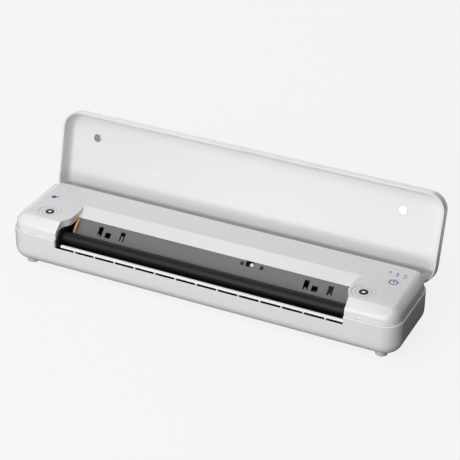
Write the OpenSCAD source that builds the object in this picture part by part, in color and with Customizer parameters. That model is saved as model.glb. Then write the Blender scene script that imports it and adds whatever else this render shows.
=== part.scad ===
/* [Case] */
// Length of the case from end to end
case_l = 311.6; // [304:0.2:320]
// Depth of the case from front to back
case_d = 68.8; // [67.8:0.2:72]
// Plan radius of the four upright corners
corner_r = 13.7; // [13:0.1:14.6]
// Standing height of the rubber feet
foot_h = 2.9; // [2.5:0.1:3.4]
// Radius of each rubber foot
foot_r = 4.5; // [4:0.1:4.8]
// Height of the bottom shell from its underside to the seam
shell_h = 26.3; // [26.1:0.1:27.4]
// Rounding between the underside and the walls
shell_r = 10.3; // [9.8:0.1:10.8]
// Wall of the bottom shell
shell_wall = 2.4; // [2.1:0.1:2.5]

/* [Top cover] */
// Height of the deck above the seam
deck_h = 10.85; // [10.6:0.05:11.4]
// Step from the shell's face in to the cover's face
cover_step = 1.7; // [1.6:0.05:2]
// Wall of the top cover
cover_wall = 2; // [1.8:0.1:2.1]
// Rounding along the deck's two ends and round its front corners
deck_r = 8; // [7.6:0.1:8.3]
// Rounding along the back of the deck
back_r = 4.5; // [4:0.1:5]
// Depth of the facet along the front of the deck
facet_run = 8; // [7:0.1:8.5]
// Slope of the facet
facet_slope = 35; // [30:1:40]
// Gap between the exit plate and the mouth's side walls
mouth_gap = 1.7; // [1.5:0.1:1.9]
// Extra half width of the mouth at its front
mouth_step = 4.4; // [4.2:0.1:4.6]
// Distance from the front face to the crease at the top of the ramp
crease_in = 40; // [39:0.5:41]
// Run of the ramp from its crease to its lower lip
ramp_run = 11.5; // [11:0.1:12]
// Fall of the ramp from the deck to its lower lip
ramp_fall = 3.85; // [3.6:0.05:4]

/* [Lid] */
// Wall of the lid at its rim
lid_wall = 1.35; // [1.2:0.05:1.4]
// Thickness of the lid's flat roof
lid_roof = 2.9; // [2.6:0.1:3.2]
// Gap between the deck and the lid's ceiling
lid_clear = 0.95; // [0.8:0.05:1.2]
// Gap between the lid's rim and the seam
rim_gap = 0.4; // [0.35:0.05:0.6]
// Outer rounding of the lid
lid_r = 7.5; // [7:0.1:8.5]
// Angle from closed to the open stop
lid_open = 104.1; // [98:0.5:105]
// Distance from the hinge axis to the back face
hinge_in = 0.9; // [0.8:0.05:1]
// Depth of the hinge axis below the seam
hinge_drop = 3.4; // [3.3:0.05:3.6]
// Distance from each end of the case to its hinge
hinge_end = 59; // [46:1:70]
// Width of the knuckle on the lid
knuckle_w = 22; // [16:1:26]
// Radius of the hinge pins
pin_r = 1; // [0.9:0.05:1.1]

/* [Printing mechanism] */
// Radius of the rubber platen roller
roller_r = 4.8; // [4.6:0.1:5]
// Clearance along the case from the right catch to the roller
roller_gap = 3.7; // [3.5:0.1:5]
// Distance from the front face to the roller axis
roller_in = 11.6; // [11.4:0.1:11.9]
// Depth of the roller axis below the seam
roller_drop = 2.6; // [2.4:0.1:2.8]
// Module of the gear teeth
gear_mod = 0.5; // [0.48:0.01:0.51]
// Teeth on the platen gear
platen_teeth = 28; // [24:1:28]
// Teeth on the idler gear
idler_teeth = 36; // [34:1:37]
// Teeth on the motor pinion
pinion_teeth = 12; // [11:1:14]
// Radius of the drive motor
motor_r = 10; // [9:0.5:10.5]
// Length of the drive motor
motor_l = 18; // [14:1:20]

/* [Controls] */
// Radius of the two key caps
key_r = 5; // [4.5:0.1:5.4]
// Travel of each key
key_travel = 0.4; // [0.3:0.05:0.5]
// Distance from the right end to the power key
power_key_in = 19.3; // [18.3:0.1:20]
// Distance from the left end to the feed key
feed_key_in = 16.6; // [16:0.1:18]
// Distance from the right end to the right catch
right_catch_in = 33.5; // [32:0.1:36]
// Distance from the left end to the left catch
left_catch_in = 24.8; // [24:0.1:26]
// Radius of the bezel round each magnetic catch
bezel_r = 5.6; // [5.2:0.1:6]

/* [Hidden] */
// Names of the separate pieces

// Facets of large rounds, of small rounds, and the overrun of every cut
round_fn = 72;
small_fn = 48;
over = 1;

// Clearances: a shaft in its bore, a sliding piece, two fixed pieces, a moving gap, and two faces that would graze
run_fit = 0.05;
slide_fit = 0.15;
seat_fit = 0.05;
move_gap = 0.3;
graze = 0.02;

// Levels and faces of the case
front_y = -case_d / 2;
back_y = case_d / 2;
seam_z = foot_h + shell_h;
floor_z = foot_h + shell_wall;
deck_z = seam_z + deck_h;
ceiling_z = deck_z + lid_clear;
lid_z = ceiling_z + lid_roof;
lid_in_r = back_r + cover_step - lid_wall;

// Lengths along the case: the roller between the two ends, and the exit plate
roller_l = case_l - 2 * (right_catch_in + bezel_r + roller_gap);
plate_short = 7;
plate_l = roller_l - plate_short;

// The lip of the shell's rim, its chamfer, and the rebate that takes the cover
lip_w = 1.2;
lip_bevel = 0.5;
rebate_h = 1;

// The mouth in the top cover, seen from above
bend_front = 3.1;
bend_run = 12.4;
waist_x = plate_l / 2 + mouth_gap;
mouth_x = waist_x + mouth_step;
mouth_front_y = front_y + roller_in - bend_front;
mouth_bend_y = mouth_front_y + bend_run;
crease_y = front_y + crease_in;
lip_y = crease_y - ramp_run;
lip_z = deck_z - ramp_fall;
flare_r = 7;
flare_turn = 80;
lip_t = 0.4;
flange_t = 1.6;
flange_h = 5.6;
flange_in = 3.5;
bend_steps = 8;

// The hinge
hinge_x = case_l / 2 - hinge_end;
hinge_y = back_y - hinge_in;
hinge_z = seam_z - hinge_drop;
knuckle_r = 2.3;
ear_w = 5;
side_gap = 0.4;
nose_r = 3.5;
scoop_w = 20;
scoop_h = 1.2;
disc_r = 3;
disc_h = 1.5;
disc_proud = 0.2;

// The roller and the plates that carry it
roller_y = front_y + roller_in;
roller_z = seam_z - roller_drop;
shaft_r = 3;
journal_r = 2.5;
bush_r = 4.2;
bush_flange_r = 4.7;
bush_flange = 0.5;
side_t = 1.5;
side_x = roller_l / 2 + bush_flange + move_gap;
side_top_z = deck_z - flange_h - 3 * move_gap;
side_depth_share = 0.5596;
side_back_y = roller_y + side_depth_share * case_d;
side_corner = 3;

// The notch in the front wall and the ribbed guide bar in it
notch_h = 6.7;
slot_h = 1.7;
sill_w = 0.6;
sill_drop = 1.5;
bar_h = 1.4;
bar_t = 2.5;
bar_shift = 2.3;
bar_in = 0.3;
rib_w = 1;
rib_pitch = 16.77;
rib_count = floor(roller_l / rib_pitch);
rib_shift = 1.47;
notch_z = seam_z - notch_h;
bar_z = notch_z + slot_h;
guide_run = 3.2;
guide_drop = 1.9;
guide_t = 0.8;

// The exit plate: its slope, sheet and cut-outs as [side, from that end, distance down, width, length]
plate_slope = 42.7;
plate_t = 0.8;
plate_shift = 0.6;
plate_run = 14.2;
fold_run = 5;
heel_run = 3.4;
heel_slope = 70;
slots = [
  [-1, 19.35, 2.85, 3.7, 7.2], [-1, 26.1, 6, 4.6, 4.2], [-1, 37.85, 2.85, 3.7, 7.2],
  [1, 32.45, 2.95, 3.9, 7], [1, 25.65, 5.85, 4.7, 4.2], [1, 14.05, 2.95, 3.9, 7]
];
tabs = [[-1, 18.9, 8.8], [-1, 37.85, 5.9], [1, 32.2, 8.5], [1, 13.9, 8.5]];
tab_w = 1.4;
tab_foot = 10.7;
sensor_hole = [32.3, 0.1, 6.4, 4.3];
peg_holes = [[26, 2.9], [41.6, 2.9]];
peg_hole_r = 1.4;
peg_r = 0.8;
sensor_at = [33.3, 2.1];
sensor_r = 1.7;
sensor_h = 1.2;
sensor_base = [18.4, 4.4, 1];

// The ribbons as [side, width], their sheet, gap to the plate and rise above the chord
ribbons = [[-1, 1.9], [1, 0.75]];
ribbon_t = 0.4;
ribbon_gap = 0.15;
ribbon_rise = 0.9;

// The thermal head under the roller
head_gap = 0.25;
head_short = 8;
head_l = roller_l - head_short;
head_w = 10;
head_t = 1;
sink_t = 3;
sink_w = 17.6;
sink_in = 7.3;
groove_count = 3;
groove_edge = 10.6;
groove_pitch = 2.2;
groove_w = 1.1;
groove_h = 1.4;
rod_r = 1.5;
rod_back = 11.9;
rod_down = 5.05;
barrel_r = 3;
barrel_l = 12;
barrel_share = 0.425;
barrels = [for (s = [-1, 0, 1]) s * barrel_share * roller_l];
head_z = roller_z - roller_r - head_gap;
sink_z = head_z - head_t - sink_t;
rod_y = roller_y + rod_back;
rod_z = sink_z - rod_down + sink_t;
spring_r = 3.2;
wire_r = 0.35;
spring_turns = 5.5;
spring_shares = [-0.389, -0.133, 0.133, 0.389];
springs = [for (s = spring_shares) s * roller_l];
ring_steps = 10;
wire_sides = 6;
seat_r = 1.8;
seat_h = 2;

// The gear train outside the left side plate
gear_w = 4;
gear_slope = -20;
backlash = 0.12;
pressure = 20;
gear_x = -(mouth_x + flange_t + 2 * move_gap);
idler_reach = gear_mod * (platen_teeth + idler_teeth) / 2;
pinion_reach = gear_mod * (idler_teeth + pinion_teeth) / 2;
idler_y = roller_y + idler_reach * cos(gear_slope);
idler_z = roller_z + idler_reach * sin(gear_slope);
pinion_y = idler_y + pinion_reach * cos(gear_slope);
pinion_z = idler_z + pinion_reach * sin(gear_slope);

// The idler has a gap facing the platen gear, and idler_past is how far past a tooth it faces the pinion
idler_turn = gear_slope + 180 + 180 / idler_teeth;
idler_past = (gear_slope - idler_turn + 720) % (360 / idler_teeth);
pinion_turn = gear_slope + 180 + idler_past * idler_teeth / pinion_teeth + 180 / pinion_teeth;

// The idler's stud and the motor's shaft
stud_r = 1.5;
stud_collar_r = 2.4;
stud_clip = 0.5;
motor_shaft_r = 1;
motor_shaft_in = 6;
motor_hub_r = 3.2;

// Boards, battery and socket
board_t = 1.6;
board_up = 24.7;
board_short = 30;
board_l = roller_l - board_short;
board_x = 6;
board_in = 31;
board_back = 14.8;
board_w = case_d - board_in - board_back;
board_z = floor_z + board_up;
board_y = front_y + board_in;
post_r = 2.2;
cell_depth_share = 0.1337;
cell_length_share = 0.2876;
cell_r = cell_depth_share * case_d;
cell_l = cell_length_share * roller_l;
cell_x = -17;
cell_gap = 0.5;
cradle_w = 3;
cradle_h = 6;
usb_y = 2;
usb_w = 9;
usb_h = 3.2;
usb_l = 7.4;
usb_t = 0.5;
usb_in = 0.5;
usb_up = 12.7;
usb_z = floor_z + usb_up;
usb_board_l = 20;
usb_board_w = 18;

// Keys, switches, lights and catches
controls_share = 0.593;
catch_share = 0.295;
controls_y = front_y + controls_share * case_d;
catch_y = front_y + catch_share * case_d;
key_flange_r = 6.2;
key_flange_t = 0.8;
key_stem_r = 1.2;
key_stem = 1;
key_slack = 0.2;
switch_w = 5;
switch_h = 1.5;
plunger_h = 0.5;
plunger_r = 1;
key_board_t = 1.2;
key_board_l = 22;
key_board_in = 10.5;
key_board_end = 1.1;
stem_z = deck_z - cover_wall - key_slack - key_flange_t - key_stem;
plunger_z = stem_z - key_travel - key_slack;
key_board_z = plunger_z - plunger_h - switch_h - key_board_t;
power_x = case_l / 2 - power_key_in;
feed_x = -(case_l / 2 - feed_key_in);
left_board_x = -(case_l / 2 - cover_step - cover_wall - key_board_end - key_board_l / 2);
right_catch_x = case_l / 2 - right_catch_in;
left_catch_x = -(case_l / 2 - left_catch_in);
light_r = 0.9;
light_pitch = 5.75;
light_in = 20.3;
light_share = 0.1831;
light_y = controls_y + light_share * case_d;
dish_r = 9;
dish_h = 0.3;
catch_h = 3;
catch_floor = 1.2;
magnet_r = 3.2;
magnet_proud = 0.5;
catch_post_r = 1.6;
catch_post_proud = 0.1;

// Feet and screws
foot_in_x = 14.2;
foot_in_y = 10.9;
foot_sunk = 1.6;
front_screw_end = 29;
back_screw_end = 35.5;
front_screw_x = case_l / 2 - front_screw_end;
back_screw_x = case_l / 2 - back_screw_end;
screw_in = 11.8;
mid_screw_x = 30;
mid_screw_in = 10.3;
screw_r = 1.3;
screw_head_r = 2.6;
screw_head_h = 1.8;
screw_l = 17;
recess_w = 0.7;
recess_h = 1;
boss_r = 3.2;
boss_h = 9;
boss_top_z = floor_z + boss_h;
cell_y = back_y - mid_screw_in - boss_r - cell_gap - cell_r;

// How far back the open lid reaches, and the middle of the open printer, which is put over the origin
lid_reach_y = hinge_y - (case_d - hinge_in - lid_r) * cos(lid_open)
  + (lid_z - lid_r - hinge_z) * sin(lid_open) + lid_r;
middle_y = (front_y + lid_reach_y) / 2;

// The places of the six case screws
function screw_places() = [
  for (s = [-1, 1]) each [
    [s * front_screw_x, front_y + screw_in],
    [s * back_screw_x, back_y - screw_in],
    [s * mid_screw_x, back_y - mid_screw_in]
  ]
];

// A flat block whose outer corner is round, at its foot or at its top
module round_block(w, z0, z1, r, top) {
  h = z1 - z0;
  translate([0, z0]) intersection() {
    square([w, h]);
    union() {
      square([w - r, h]);
      translate([0, top ? 0 : r]) square([w, h - r]);
      translate([w - r, top ? h - r : r]) circle(r = r, $fn = round_fn);
    }
  }
}

// Carries a section round a rectangle whose upright corners have the radius r
module sweep_round(l, d, r) {
  for (flip_x = [0, 1])
    for (flip_y = [0, 1])
      mirror([flip_x, 0, 0]) mirror([0, flip_y, 0])
        translate([l / 2 - r, d / 2 - r, 0]) rotate_extrude(angle = 90, $fn = round_fn) children();
  for (flip_y = [0, 1])
    mirror([0, flip_y, 0]) translate([-(l / 2 - r), d / 2 - r, 0]) along_x(l - 2 * r) children();
  for (flip_x = [0, 1])
    mirror([flip_x, 0, 0])
      translate([l / 2 - r, d / 2 - r, 0]) rotate([90, 0, 0]) linear_extrude(d - 2 * r) children();
}

// Extrudes a section drawn in depth and height along the length of the case
module along_x(l) {
  rotate([90, 0, 90]) linear_extrude(l) children();
}

// A round rod along the length of the case, from x over the length l
module rod_x(x, y, z, r, l) {
  translate([x, y, z]) rotate([0, 90, 0]) cylinder(r = r, h = l, $fn = small_fn);
}

// A box given by its middle in plan, its foot and its size
module block(x, y, z, l, w, h) {
  translate([x - l / 2, y - w / 2, z]) cube([l, w, h]);
}

// A straight row of cylinders at the places given
module pegs(places, z, r, h) {
  for (p = places) translate([p[0], p[1], z]) cylinder(r = r, h = h, $fn = small_fn);
}

// Swings the closed lid open about the hinge axis
module opened() {
  translate([0, hinge_y, hinge_z]) rotate([-lid_open, 0, 0]) translate([0, -hinge_y, -hinge_z]) children();
}

// Section of the bottom shell's wall with its lip and rebate
module shell_section() {
  difference() {
    round_block(corner_r, foot_h, seam_z, shell_r, false);
    round_block(corner_r - shell_wall, floor_z, seam_z + over, shell_r - shell_wall, false);
    translate([0, seam_z - rebate_h]) square([corner_r - lip_w, rebate_h + over]);
    polygon([
      [corner_r - lip_bevel, seam_z], [corner_r + over, seam_z], [corner_r + over, seam_z - lip_bevel],
      [corner_r, seam_z - lip_bevel]
    ]);
  }
}

// Places of the four feet
function foot_places() = [
  for (sx = [-1, 1]) for (sy = [-1, 1]) [sx * (case_l / 2 - foot_in_x), sy * (case_d / 2 - foot_in_y)]
];

// Places of the posts under the main board
function board_places() = [
  for (x = [board_x - board_l / 2 + post_r, board_x + board_l / 2 - post_r])
    for (y = [board_y + post_r, board_y + board_w - post_r]) [x, y]
];

// Places of the posts under the socket's board
function usb_places() = [
  for (s = [-1, 1]) [-(case_l / 2 - shell_wall - usb_board_l + post_r), usb_y + s * (usb_board_w / 2 - post_r)]
];

// Saddle that keeps a cell of the battery from rolling
module cradle(x) {
  difference() {
    block(x, cell_y, floor_z, cradle_w, 2 * cell_r + 2 * shell_wall, cradle_h);
    rod_x(x - cradle_w, cell_y, floor_z + cell_r, cell_r + seat_fit, 2 * cradle_w);
  }
}

// Ears on both sides of a lid knuckle
module hinge_ears(x) {
  for (s = [-1, 1])
    rod_x(x + s * (knuckle_w / 2 + side_gap + ear_w / 2) - ear_w / 2, hinge_y, hinge_z, knuckle_r, ear_w);
}

module bottom_shell() {
  color("white") difference() {
    union() {
      sweep_round(case_l, case_d, corner_r) shell_section();
      block(0, 0, foot_h, case_l - 2 * corner_r, case_d - 2 * corner_r, shell_wall);
      pegs(screw_places(), floor_z - seat_fit, boss_r, boss_top_z - floor_z + seat_fit);
      pegs(board_places(), floor_z - seat_fit, post_r, board_z - floor_z + seat_fit);
      pegs(usb_places(), floor_z - seat_fit, post_r, usb_z - board_t - floor_z + seat_fit);
      pegs([for (x = springs) [x, roller_y]], floor_z - seat_fit, seat_r, seat_h);
      for (s = [-1, 1]) cradle(cell_x + s * cell_l / 2);
      for (s = [-1, 1]) hinge_ears(s * hinge_x);
    }
    block(0, front_y, notch_z, 2 * mouth_x, 4 * shell_wall, notch_h + over);
    block(0, front_y + sill_w + shell_wall, notch_z - sill_drop, 2 * mouth_x, 2 * shell_wall, sill_drop + over);
    pegs(foot_places(), foot_h - over, foot_r + seat_fit, foot_sunk + over);
    pegs(screw_places(), foot_h - over, screw_r + slide_fit, boss_top_z - foot_h + 2 * over);
    pegs(screw_places(), foot_h - over, screw_head_r + slide_fit, screw_head_h + over);
    for (s = [-1, 1]) {
      block(s * hinge_x, hinge_y, hinge_z - knuckle_r - side_gap, knuckle_w + 2 * side_gap,
        2 * (knuckle_r + side_gap), seam_z);
      rod_x(s * hinge_x - knuckle_w, hinge_y, hinge_z, pin_r + seat_fit / 2, 2 * knuckle_w);
    }
    block(-case_l / 2, usb_y, usb_z - move_gap, 4 * shell_wall, usb_w + 2 * move_gap, usb_h + 2 * move_gap);
  }
}

module rubber_feet() {
  color([0.8, 0.8, 0.8]) pegs(foot_places(), 0, foot_r, foot_h + foot_sunk);
}

module case_screws() {
  color("silver") difference() {
    union() {
      pegs(screw_places(), foot_h, screw_head_r, screw_head_h);
      pegs(screw_places(), foot_h, screw_r, screw_l);
    }
    for (p = screw_places())
      for (a = [0, 90])
        translate([p[0], p[1], 0]) rotate([0, 0, a])
          block(0, 0, foot_h - over, 2 * screw_r, recess_w, recess_h + over);
  }
}

// Half of the mouth's outline from the front to the back, widened by g
function mouth_side(g) =
  let(
    dx = mouth_step / 2,
    dy = (mouth_bend_y - mouth_front_y) / 2,
    turn = 2 * atan(dx / dy),
    r = dy / sin(turn)
  ) [
    [mouth_x + g, front_y - over],
    for (i = [0 : bend_steps])
      let(a = turn * i / bend_steps) [mouth_x + g - r * (1 - cos(a)), mouth_front_y + r * sin(a)],
    for (i = [1 : bend_steps])
      let(a = turn * (1 - i / bend_steps)) [waist_x + g + r * (1 - cos(a)), mouth_bend_y - r * sin(a)],
    for (i = [0 : bend_steps])
      let(a = flare_turn * i / bend_steps)
        [waist_x + g + flare_r * (1 - cos(a)), crease_y - flare_r + flare_r * sin(a)]
  ];

// The mouth seen from above, widened by g
module mouth_plan(g) {
  side = mouth_side(g);
  n = len(side);
  polygon(concat(side, [for (i = [n - 1 : -1 : 0]) [-side[i][0], side[i][1]]]));
}

// What the facet and the nose under it take from the front of the deck, g inside the cover's faces
module facet_cut(g) {
  y0 = front_y + cover_step;
  facet_up = [-sin(facet_slope), cos(facet_slope)];
  nose = [
    y0 + nose_r - graze,
    deck_z - (nose_r * (1 - sin(facet_slope)) + facet_run * sin(facet_slope)) / cos(facet_slope)
  ];
  past = [y0 + facet_run + g * tan(facet_slope / 2) + over, deck_z - g + over * tan(facet_slope)];
  difference() {
    polygon([
      [y0 - over, nose[1]], nose, nose + (nose_r - g) * facet_up, past, [y0 - over, past[1]]
    ]);
    translate(nose) circle(r = nose_r - g, $fn = round_fn);
  }
}

// A block of the cover's plan over the depth d, with the rounding e round its top, g inside its faces
module cover_block(d, z0, e, g) {
  l = case_l - 2 * cover_step;
  r = corner_r - cover_step;
  w = e == back_r ? 0 : graze;
  sweep_round(l + 2 * w, d + 2 * w, r + w) round_block(r + w - g, z0, deck_z + w - g, e + w - g, true);
  block(0, 0, z0, l - 2 * r, d - 2 * r, deck_z + w - g - z0);
}

// The cover as one solid, g inside its faces
module cover_form(z0, g) {
  d = case_d - 2 * cover_step;
  difference() {
    intersection() {
      cover_block(d, z0, back_r, g);
      translate([0, corner_r, 0]) cover_block(d + 2 * corner_r, z0 - over, deck_r, g);
    }
    translate([-case_l / 2, 0, 0]) along_x(case_l) facet_cut(g);
  }
}

// What the mouth and the ramp take away from the top cover
module mouth_cut() {
  intersection() {
    translate([0, 0, seam_z - rebate_h - over])
      linear_extrude(deck_h + rebate_h + 2 * over) mouth_plan(0);
    translate([-case_l / 2, 0, 0]) along_x(case_l) polygon([
      [front_y - 2 * over, seam_z - rebate_h - over],
      [lip_y, seam_z - rebate_h - over],
      [lip_y, lip_z],
      [crease_y, deck_z],
      [crease_y, deck_z + over],
      [front_y - 2 * over, deck_z + over]
    ]);
  }
}

// The wall that hangs down from the deck round the mouth
module mouth_flange() {
  intersection() {
    translate([0, 0, seam_z - rebate_h])
      linear_extrude(deck_h + rebate_h) difference() {
        mouth_plan(flange_t);
        mouth_plan(0);
      }
    translate([-case_l / 2, 0, 0]) along_x(case_l) difference() {
      translate([front_y + cover_step, seam_z - rebate_h])
        square([crease_y - front_y - cover_step, deck_h + rebate_h]);
      facet_cut(0);
      mirror([1, 0])
        translate([-crease_y - over, 0])
          round_block(crease_y + over - front_y - cover_step - flange_in, seam_z - rebate_h - over,
            deck_z - flange_h, deck_r - flange_in, true);
    }
  }
}

// The sloping floor between the crease and the lip
module ramp() {
  half = waist_x + flare_r + flange_t;
  translate([-half, 0, 0]) along_x(2 * half) polygon([
    [lip_y, lip_z - lip_t], [lip_y, lip_z], [crease_y, deck_z],
    [crease_y + cover_wall, deck_z], [crease_y + cover_wall, deck_z - cover_wall],
    [crease_y, deck_z - cover_wall]
  ]);
}

// Posts that hang from the deck and carry a key board
function key_posts(x) = [
  [x - key_board_l / 3, controls_y - key_board_in + post_r],
  [x + key_board_l / 3, controls_y - key_board_in + post_r],
  [x, light_y + post_r + light_r]
];

module top_cover() {
  color("white") difference() {
    union() {
      difference() {
        cover_form(seam_z - rebate_h, 0);
        cover_form(seam_z - rebate_h - over, cover_wall);
      }
      mouth_flange();
      ramp();
      for (x = [left_catch_x, right_catch_x])
        translate([x, catch_y, deck_z - catch_h - catch_floor - dish_h])
          cylinder(r = bezel_r + flange_t, h = catch_h + catch_floor, $fn = small_fn);
      for (p = screw_places())
        translate([p[0], p[1], boss_top_z + seat_fit])
          cylinder(r = boss_r, h = deck_z - cover_wall / 2 - boss_top_z, $fn = small_fn);
      for (x = [power_x, left_board_x])
        pegs(key_posts(x), key_board_z + key_board_t, post_r,
          deck_z - cover_wall + seat_fit - key_board_z - key_board_t);
    }
    mouth_cut();
    for (x = [left_catch_x, right_catch_x]) {
      translate([x, catch_y, deck_z - dish_h]) cylinder(r = dish_r, h = over, $fn = round_fn);
      translate([x, catch_y, deck_z - dish_h - catch_h])
        cylinder(r = bezel_r + seat_fit, h = catch_h + over, $fn = round_fn);
    }
    for (x = [power_x, feed_x])
      translate([x, controls_y, deck_z - cover_wall - over])
        cylinder(r = key_r + slide_fit, h = cover_wall + 2 * over, $fn = round_fn);
    pegs(light_places(), deck_z - cover_wall - over, light_r + seat_fit, cover_wall + 2 * over);
    pegs(screw_places(), boss_top_z - over, screw_r + seat_fit, screw_l);
  }
}

module paper_guide() {
  y0 = front_y + bar_in;
  y1 = y0 + bar_t;
  y2 = y1 + guide_run;
  left = roller_l / 2 - bar_shift;
  color([0.93, 0.93, 0.93]) {
    translate([-left, 0, 0]) along_x(left + mouth_x) polygon([
      [y0, bar_z], [y0, bar_z + bar_h - bar_in], [y0 + bar_in, bar_z + bar_h],
      [y1 - bar_in, bar_z + bar_h], [y1, bar_z + bar_h - bar_in], [y1, bar_z]
    ]);
    translate([-left, 0, 0]) along_x(left + roller_l / 2) polygon([
      [y1 - bar_in, bar_z], [y1 - bar_in, bar_z + guide_t], [y1, bar_z + guide_t],
      [y2, bar_z + guide_t - guide_drop], [y2, bar_z - guide_drop], [y1, bar_z]
    ]);
    for (i = [0 : rib_count - 1])
      block(rib_shift + (i - (rib_count - 1) / 2) * rib_pitch, (front_y + sill_w + seat_fit + y1 - bar_in) / 2,
        notch_z - sill_drop, rib_w, y1 - bar_in - front_y - sill_w - seat_fit, sill_drop + slot_h);
  }
}

// Outline of a side plate, standing on the floor between the front wall and the battery
module side_outline() {
  y0 = front_y + shell_wall + side_gap + bush_flange;
  polygon([
    [front_y + shell_r, floor_z], [y0 + side_corner, floor_z + side_corner + shell_wall],
    [y0, floor_z + shell_r - shell_wall], [y0, side_top_z - side_corner], [y0 + side_corner, side_top_z],
    [idler_y, side_top_z], [idler_y + 2 * side_corner, side_top_z - side_corner],
    [side_back_y - side_corner, side_top_z - side_corner], [side_back_y, side_top_z - 2 * side_corner],
    [side_back_y, floor_z]
  ]);
}

// A side plate whose inner face lies at x
module side_plate(x, drive) {
  difference() {
    translate([x, 0, 0]) along_x(side_t) side_outline();
    rod_x(x - over, roller_y, roller_z, bush_r + seat_fit, side_t + 2 * over);
    rod_x(x - over, rod_y, rod_z, rod_r + seat_fit / 2, side_t + 2 * over);
    if (drive) {
      rod_x(x - over, idler_y, idler_z, stud_r + seat_fit / 2, side_t + 2 * over);
      rod_x(x - over, pinion_y, pinion_z, motor_hub_r + seat_fit, side_t + 2 * over);
    } else {
      rod_x(x - over, pinion_y, pinion_z, motor_r / 2, side_t + 2 * over);
    }
  }
}

module left_side_plate() {
  color([0.08, 0.08, 0.08]) side_plate(-side_x - side_t, true);
}

module right_side_plate() {
  color([0.08, 0.08, 0.08]) side_plate(side_x, false);
}

// Point on the plate's upper face, s down from its fold, and t into the sheet
function on_plate(s, t) = [
  lip_y - s * cos(plate_slope) + t * sin(plate_slope),
  lip_z - lip_t - s * sin(plate_slope) - t * cos(plate_slope)
];

// Places a shape drawn in x and distance down the plate on its upper face
module on_slope() {
  p = on_plate(0, 0);
  translate([0, p[0], p[1]]) rotate([plate_slope, 0, 0]) mirror([0, 1, 0]) children();
}

module exit_plate() {
  ramp_slope = atan((ramp_fall + lip_t - cover_wall) / ramp_run);
  heel = on_plate(plate_run, 0);
  heel_in = on_plate(plate_run, plate_t);
  color([0.48, 0.49, 0.5]) difference() {
    union() {
      translate([plate_shift - plate_l / 2, 0, 0]) along_x(plate_l) polygon([
        on_plate(0, 0), heel,
        heel - heel_run * [cos(heel_slope), sin(heel_slope)],
        heel_in - heel_run * [cos(heel_slope), sin(heel_slope)],
        heel_in, on_plate(0, plate_t),
        on_plate(0, plate_t) + fold_run * [cos(ramp_slope), sin(ramp_slope)],
        on_plate(0, 0) + fold_run * [cos(ramp_slope), sin(ramp_slope)]
      ]);
    }
    on_slope() {
      for (c = slots)
        translate([plate_shift + c[0] * (plate_l / 2 - c[1]) - c[3] / 2, c[2], -over])
          cube([c[3], c[4], 2 * over]);
      translate([sensor_hole[0] - sensor_hole[2] / 2, sensor_hole[1], -over])
        cube([sensor_hole[2], sensor_hole[3], 2 * over]);
      for (c = peg_holes) translate([c[0], c[1], -over]) cylinder(r = peg_hole_r, h = 2 * over, $fn = small_fn);
    }
  }
  color([0.75, 0.75, 0.75]) on_slope()
    for (c = tabs)
      translate([plate_shift + c[0] * (plate_l / 2 - c[1]) - tab_w / 2, c[2], -plate_t])
        cube([tab_w, tab_foot - c[2], plate_t]);
}

// The sensor under its hole, on a carrier whose pegs stand in the two small holes
module paper_sensor() {
  mid = (peg_holes[0] + peg_holes[1]) / 2;
  foot = -plate_t - seat_fit - sensor_r - sensor_h;
  color([0.9, 0.9, 0.88]) on_slope() {
    translate([mid[0] - sensor_base[0] / 2, mid[1] - sensor_base[1] / 2, foot - sensor_base[2]]) cube(sensor_base);
    pegs([sensor_at], foot, sensor_r, sensor_h);
    translate([sensor_at[0], sensor_at[1], foot + sensor_h]) sphere(r = sensor_r, $fn = small_fn);
    pegs(peg_holes, foot, peg_r, -foot);
  }
}

// A ribbon beside each end of the exit plate, from the board round to the head
module ribbon_cables() {
  top = on_plate(ribbon_t, ribbon_t);
  low = on_plate(plate_run, 0);
  chord = norm(top - low);
  rise = ribbon_rise;
  r = (chord * chord / 4 + rise * rise) / (2 * rise);
  half = asin(chord / 2 / r);
  mid = (top + low) / 2;
  hub = mid + (r - rise) * [sin(plate_slope), -cos(plate_slope)];
  color([0.84, 0.61, 0.31])
    for (c = ribbons)
      translate([plate_shift + c[0] * (plate_l / 2 + ribbon_gap + c[1] / 2) - c[1] / 2, 0, 0]) along_x(c[1])
        translate(hub) intersection() {
          difference() {
            circle(r = r, $fn = round_fn);
            circle(r = r - ribbon_t, $fn = round_fn);
          }
          polygon([
            [0, 0],
            2 * r * [cos(90 + plate_slope - half), sin(90 + plate_slope - half)],
            2 * r * [cos(90 + plate_slope + half), sin(90 + plate_slope + half)]
          ]);
        }
}

module platen_bushes() {
  color("ivory")
    for (s = [0, 1]) mirror([s, 0, 0]) difference() {
      union() {
        rod_x(side_x, roller_y, roller_z, bush_r, side_t);
        rod_x(side_x - bush_flange, roller_y, roller_z, bush_flange_r, bush_flange);
      }
      rod_x(side_x - over, roller_y, roller_z, journal_r + run_fit, side_t + 2 * over);
    }
}

module head_rod() {
  color("silver") rod_x(-side_x - side_t, rod_y, rod_z, rod_r, 2 * (side_x + side_t));
}

// One coil spring as a closed tube round a helix, from the floor to the heat sink
module coil_spring(h) {
  steps = ceil(spring_turns * ring_steps);
  rise = h - 2 * wire_r;
  points = [
    for (i = [0 : steps]) let(a = 360 * spring_turns * i / steps)
      for (j = [0 : wire_sides - 1]) let(b = 360 * j / wire_sides)
        [(spring_r + wire_r * cos(b)) * cos(a), (spring_r + wire_r * cos(b)) * sin(a),
          wire_r + rise * i / steps + wire_r * sin(b)]
  ];
  sides = [
    for (i = [0 : steps - 1]) for (j = [0 : wire_sides - 1])
      let(a = i * wire_sides + j, b = i * wire_sides + (j + 1) % wire_sides)
        each [[a, a + wire_sides, b + wire_sides], [a, b + wire_sides, b]]
  ];
  ends = [
    [for (j = [0 : wire_sides - 1]) j],
    [for (j = [wire_sides - 1 : -1 : 0]) steps * wire_sides + j]
  ];
  polyhedron(points = points, faces = concat(sides, ends));
}

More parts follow.
